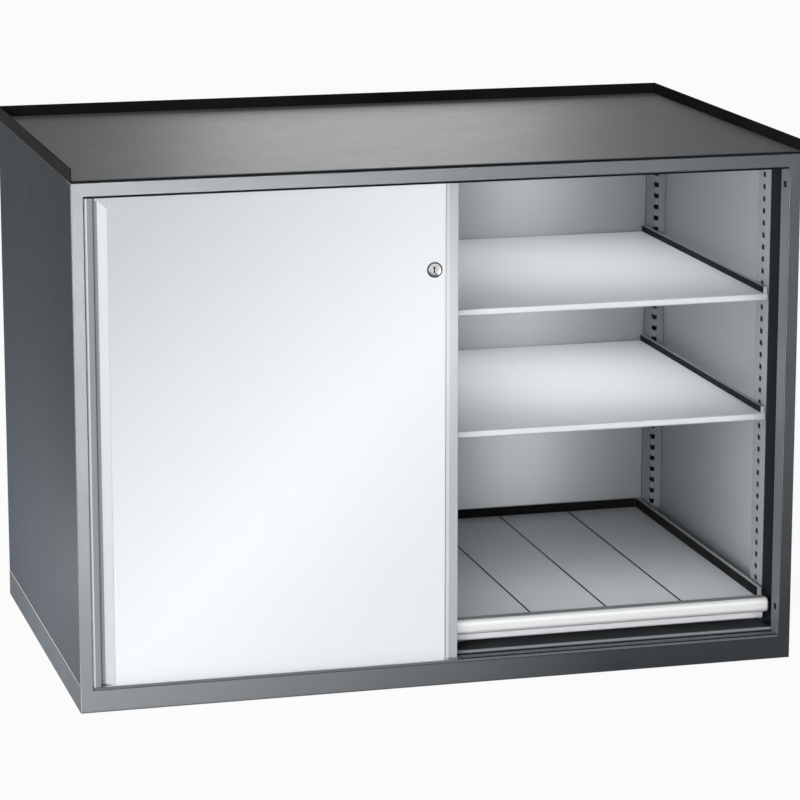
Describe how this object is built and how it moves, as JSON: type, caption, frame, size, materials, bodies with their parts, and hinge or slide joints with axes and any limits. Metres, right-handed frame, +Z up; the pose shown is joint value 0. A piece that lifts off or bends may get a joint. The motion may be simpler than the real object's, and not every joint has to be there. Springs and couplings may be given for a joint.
{
  "type": "metal workshop cabinet",
  "caption": "Low sheet-metal workshop cabinet with bypassing sliding doors, rimmed tray top, slotted posts with shelves, and a pull-out tray with a grip bar",
  "frame": {"origin": "on the floor under the middle of the cabinet's footprint", "axes": "+X to the right seen from the front, +Y to the back, +Z up; the doors and the tray are at the front, -Y"},
  "size_m": [1.193, 0.725, 0.87],
  "materials": {
    "housing_paint": "satin powder coat, mid grey",
    "door_paint": "smooth semi-gloss powder coat, light grey",
    "shelf_paint": "satin powder coat, light grey",
    "tray_paint": "satin powder coat, grey",
    "dark_paint": "satin powder coat, near black",
    "mat": "smooth dense mat, dark grey, slight sheen",
    "zinc_steel": "zinc-plated steel",
    "bar_aluminium": "satin anodised",
    "lock_metal": "bright nickel",
    "nylon": "moulded nylon",
    "cap_plastic": "moulded end cap, light grey",
    "buffer_rubber": "black rubber"
  },
  "bodies": {
    "housing": {"back_panel": "housing_paint", "base_frame": "housing_paint", "bottom_track": "housing_paint", "centre_back_post": "housing_paint", "centre_front_post": "housing_paint", "centre_partition": "housing_paint", "cross_members": "housing_paint", "door_buffers": "buffer_rubber", "floor_pan": "housing_paint", "front_frame": "housing_paint", "left_back_post": "housing_paint", "left_front_post": "housing_paint", "left_lower_shelf": "shelf_paint", "left_side_panel": "housing_paint", "left_slide_rail": "zinc_steel", "left_upper_shelf": "shelf_paint", "panel_screws": "zinc_steel", "right_back_post": "housing_paint", "right_front_post": "housing_paint", "right_lower_shelf": "shelf_paint", "right_side_panel": "housing_paint", "right_slide_rail": "zinc_steel", "right_upper_shelf": "shelf_paint", "roof_panel": "housing_paint", "shelf_clips": "zinc_steel", "top_mat": "mat", "top_track": "housing_paint", "top_tray": "dark_paint", "track_rib": "housing_paint"},
    "left_door": {"left_door_carriages": "zinc_steel", "left_door_edge": "door_paint", "left_door_grip": "door_paint", "left_door_panel": "door_paint", "lock_barrel": "lock_metal"},
    "right_door": {"right_door_carriages": "zinc_steel", "right_door_edge": "door_paint", "right_door_grip": "door_paint", "right_door_panel": "door_paint"},
    "lock_plug": {"lock_core": "lock_metal"},
    "pull_out": {"floor_plank_1": "tray_paint", "floor_plank_2": "tray_paint", "floor_plank_3": "tray_paint", "floor_plank_4": "tray_paint", "front_strip": "door_paint", "grip_bar": "bar_aluminium", "grip_bar_caps": "cap_plastic", "left_slide_inner": "zinc_steel", "pull_out_tray": "tray_paint", "right_slide_inner": "zinc_steel"},
    "slide_middles": {"left_slide_middle": "zinc_steel", "right_slide_middle": "zinc_steel"},
    "left_door_roller_1_wheel": {"left_door_roller_1": "nylon"},
    "left_door_roller_2_wheel": {"left_door_roller_2": "nylon"},
    "left_top_guide_1_wheel": {"left_top_guide_1": "nylon"},
    "left_top_guide_2_wheel": {"left_top_guide_2": "nylon"},
    "right_door_roller_1_wheel": {"right_door_roller_1": "nylon"},
    "right_door_roller_2_wheel": {"right_door_roller_2": "nylon"},
    "right_top_guide_1_wheel": {"right_top_guide_1": "nylon"},
    "right_top_guide_2_wheel": {"right_top_guide_2": "nylon"}
  },
  "joints": [
    {"name": "left_door_slide", "type": "slide", "parent": "housing", "child": "left_door", "axis": [1, 0, 0], "range_m": [0, 0.551]},
    {"name": "right_door_slide", "type": "slide", "parent": "housing", "child": "right_door", "axis": [1, 0, 0], "range_m": [0, 0.551]},
    {"name": "pull_out_slide", "type": "slide", "parent": "housing", "child": "pull_out", "axis": [0, 1, 0], "range_m": [-0.5, 0]},
    {"name": "slide_middle_slide", "type": "slide", "parent": "housing", "child": "slide_middles", "axis": [0, 1, 0], "range_m": [-0.25, 0]},
    {"name": "lock_turn", "type": "hinge", "parent": "left_door", "child": "lock_plug", "pos_m": [-0.0175, -0.3545, 0.685], "axis": [0, 1, 0], "range_deg": [0, 90]},
    {"name": "left_door_roller_1_spin", "type": "hinge", "parent": "left_door", "child": "left_door_roller_1_wheel", "pos_m": [-0.5055, -0.351, 0.0453], "axis": [0, 1, 0], "continuous": true},
    {"name": "left_top_guide_1_spin", "type": "hinge", "parent": "left_door", "child": "left_top_guide_1_wheel", "pos_m": [-0.5055, -0.351, 0.835], "axis": [0, 0, 1], "continuous": true},
    {"name": "left_door_roller_2_spin", "type": "hinge", "parent": "left_door", "child": "left_door_roller_2_wheel", "pos_m": [-0.0455, -0.351, 0.0453], "axis": [0, 1, 0], "continuous": true},
    {"name": "left_top_guide_2_spin", "type": "hinge", "parent": "left_door", "child": "left_top_guide_2_wheel", "pos_m": [-0.0455, -0.351, 0.835], "axis": [0, 0, 1], "continuous": true},
    {"name": "right_door_roller_1_spin", "type": "hinge", "parent": "right_door", "child": "right_door_roller_1_wheel", "pos_m": [-0.0455, -0.335, 0.0453], "axis": [0, 1, 0], "continuous": true},
    {"name": "right_top_guide_1_spin", "type": "hinge", "parent": "right_door", "child": "right_top_guide_1_wheel", "pos_m": [-0.0455, -0.335, 0.835], "axis": [0, 0, 1], "continuous": true},
    {"name": "right_door_roller_2_spin", "type": "hinge", "parent": "right_door", "child": "right_door_roller_2_wheel", "pos_m": [-0.5055, -0.335, 0.0453], "axis": [0, 1, 0], "continuous": true},
    {"name": "right_top_guide_2_spin", "type": "hinge", "parent": "right_door", "child": "right_top_guide_2_wheel", "pos_m": [-0.5055, -0.335, 0.835], "axis": [0, 0, 1], "continuous": true}
  ],
  "couplings": [
    {"joint": "slide_middle_slide", "follows": "pull_out_slide", "ratio": 0.5},
    {"joint": "left_door_roller_1_spin", "follows": "left_door_slide", "rad_per_m": 58.824},
    {"joint": "left_door_roller_2_spin", "follows": "left_door_slide", "rad_per_m": 58.824},
    {"joint": "right_door_roller_1_spin", "follows": "right_door_slide", "rad_per_m": 58.824},
    {"joint": "right_door_roller_2_spin", "follows": "right_door_slide", "rad_per_m": 58.824}
  ]
}
